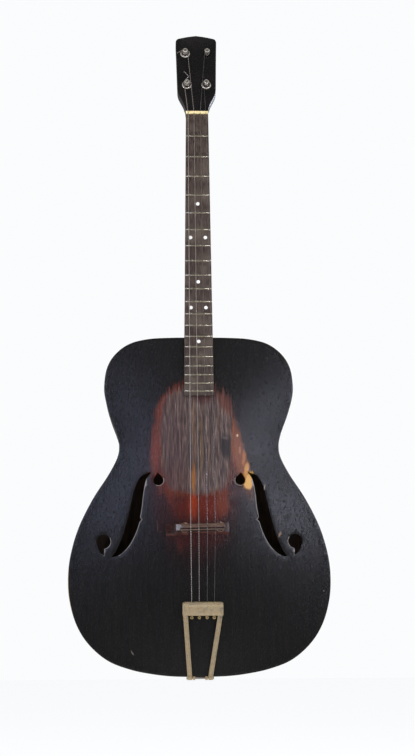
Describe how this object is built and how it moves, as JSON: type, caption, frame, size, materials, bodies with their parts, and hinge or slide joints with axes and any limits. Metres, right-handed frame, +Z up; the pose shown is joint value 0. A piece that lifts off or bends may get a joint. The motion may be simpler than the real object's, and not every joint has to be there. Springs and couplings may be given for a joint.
{
  "type": "tenor guitar",
  "caption": "Archtop tenor guitar with f-holes, a height-adjustable floating bridge, a hinged trapeze tailpiece and turning friction pegs.",
  "frame": {"origin": "middle of the object's bounding box at its lowest point, the tailpiece hinge under the tail", "axes": "+Z up the neck, -Y out of the face towards the listener, +X towards the treble strings"},
  "size_m": [0.3508, 0.1257, 0.9178],
  "materials": {
    "black_lacquered_wood": "worn gloss",
    "bare_spruce": "raw",
    "rosewood": "oiled",
    "stained_maple": "satin",
    "tarnished_nickel": "tarnished",
    "steel": "satin",
    "wound_string": "wound",
    "plain_string": "bright",
    "brass": "satin",
    "aged_bone": "satin",
    "ivory_celluloid": "gloss"
  },
  "bodies": {
    "instrument": {"top_plate": "black_lacquered_wood", "back_plate": "black_lacquered_wood", "rib_bass": "black_lacquered_wood", "rib_treble": "black_lacquered_wood", "top_lining_bass": "bare_spruce", "top_lining_treble": "bare_spruce", "back_lining_bass": "bare_spruce", "back_lining_treble": "bare_spruce", "neck_block": "bare_spruce", "tail_block": "bare_spruce", "tone_bar_bass": "bare_spruce", "tone_bar_treble": "bare_spruce", "neck": "black_lacquered_wood", "neck_reinforcement": "steel", "fingerboard": "rosewood", "nut": "aged_bone", "heel_cap": "black_lacquered_wood", "peg_ferrule_c": "tarnished_nickel", "peg_ferrule_g": "tarnished_nickel", "peg_ferrule_a": "tarnished_nickel", "peg_collar_c": "tarnished_nickel", "peg_collar_g": "tarnished_nickel", "peg_collar_d": "tarnished_nickel", "peg_collar_a": "tarnished_nickel", "string_c": "wound_string", "string_g": "wound_string", "string_d": "plain_string", "string_a": "plain_string", "hinge_pin": "steel", "tail_bracket": "tarnished_nickel", "bracket_screw_1": "steel", "bracket_screw_2": "steel", "bracket_screw_3": "steel"},
    "bridge": {"bridge_base": "stained_maple", "bridge_post_bass": "steel", "bridge_post_treble": "steel"},
    "saddle": {"saddle": "stained_maple"},
    "thumbwheel_bass": {"thumbwheel_bass": "tarnished_nickel"},
    "thumbwheel_treble": {"thumbwheel_treble": "tarnished_nickel"},
    "tailpiece": {"tailpiece": "tarnished_nickel", "ball_end_c": "brass", "ball_end_g": "brass", "ball_end_d": "brass", "ball_end_a": "brass"},
    "peg_c": {"peg_post_c": "tarnished_nickel", "peg_button_c": "ivory_celluloid", "peg_screw_c": "steel", "winding_c": "wound_string"},
    "peg_g": {"peg_post_g": "tarnished_nickel", "peg_button_g": "ivory_celluloid", "peg_screw_g": "steel", "winding_g": "wound_string"},
    "peg_d": {"peg_post_d": "tarnished_nickel", "peg_button_d": "ivory_celluloid", "peg_screw_d": "steel", "winding_d": "plain_string"},
    "peg_a": {"peg_post_a": "tarnished_nickel", "peg_button_a": "ivory_celluloid", "peg_screw_a": "steel", "winding_a": "plain_string"}
  },
  "joints": [
    {"name": "bridge_position", "type": "slide", "parent": "instrument", "child": "bridge", "axis": [0, 0, 1], "range_m": [-0.002, 0.003]},
    {"name": "saddle_height", "type": "slide", "parent": "bridge", "child": "saddle", "axis": [0, -1, 0], "range_m": [-0.001, 0.004], "deforming": ["string_c", "string_g", "string_d", "string_a"]},
    {"name": "thumbwheel_treble_turn", "type": "hinge", "parent": "saddle", "child": "thumbwheel_treble", "pos_m": [0.02699, -0.05255, 0.20071], "axis": [0, -1, 0], "range_deg": [-450, 1800]},
    {"name": "thumbwheel_bass_turn", "type": "hinge", "parent": "saddle", "child": "thumbwheel_bass", "pos_m": [-0.0201, -0.05255, 0.19972], "axis": [0, -1, 0], "range_deg": [-450, 1800]},
    {"name": "tailpiece_tilt", "type": "hinge", "parent": "instrument", "child": "tailpiece", "pos_m": [0, -0.0325, 0.0025], "axis": [1, 0, 0], "range_deg": [-0.4, 1.4]},
    {"name": "peg_c_turn", "type": "hinge", "parent": "instrument", "child": "peg_c", "pos_m": [-0.0138, 0.00147, 0.83388], "axis": [0, -0.9573, 0.289], "continuous": true},
    {"name": "peg_g_turn", "type": "hinge", "parent": "instrument", "child": "peg_g", "pos_m": [-0.0158, 0.01743, 0.88672], "axis": [0, -0.9573, 0.289], "continuous": true},
    {"name": "peg_d_turn", "type": "hinge", "parent": "instrument", "child": "peg_d", "pos_m": [0.0158, 0.01743, 0.88672], "axis": [0, -0.9573, 0.289], "continuous": true},
    {"name": "peg_a_turn", "type": "hinge", "parent": "instrument", "child": "peg_a", "pos_m": [0.0138, 0.00147, 0.83388], "axis": [0, -0.9573, 0.289], "continuous": true}
  ],
  "couplings": [
    {"joint": "saddle_height", "follows": "thumbwheel_treble_turn", "m_per_rad": 0.00012732},
    {"joint": "thumbwheel_bass_turn", "follows": "thumbwheel_treble_turn", "ratio": 1},
    {"joint": "tailpiece_tilt", "follows": "thumbwheel_treble_turn", "ratio": 0.00062979}
  ]
}
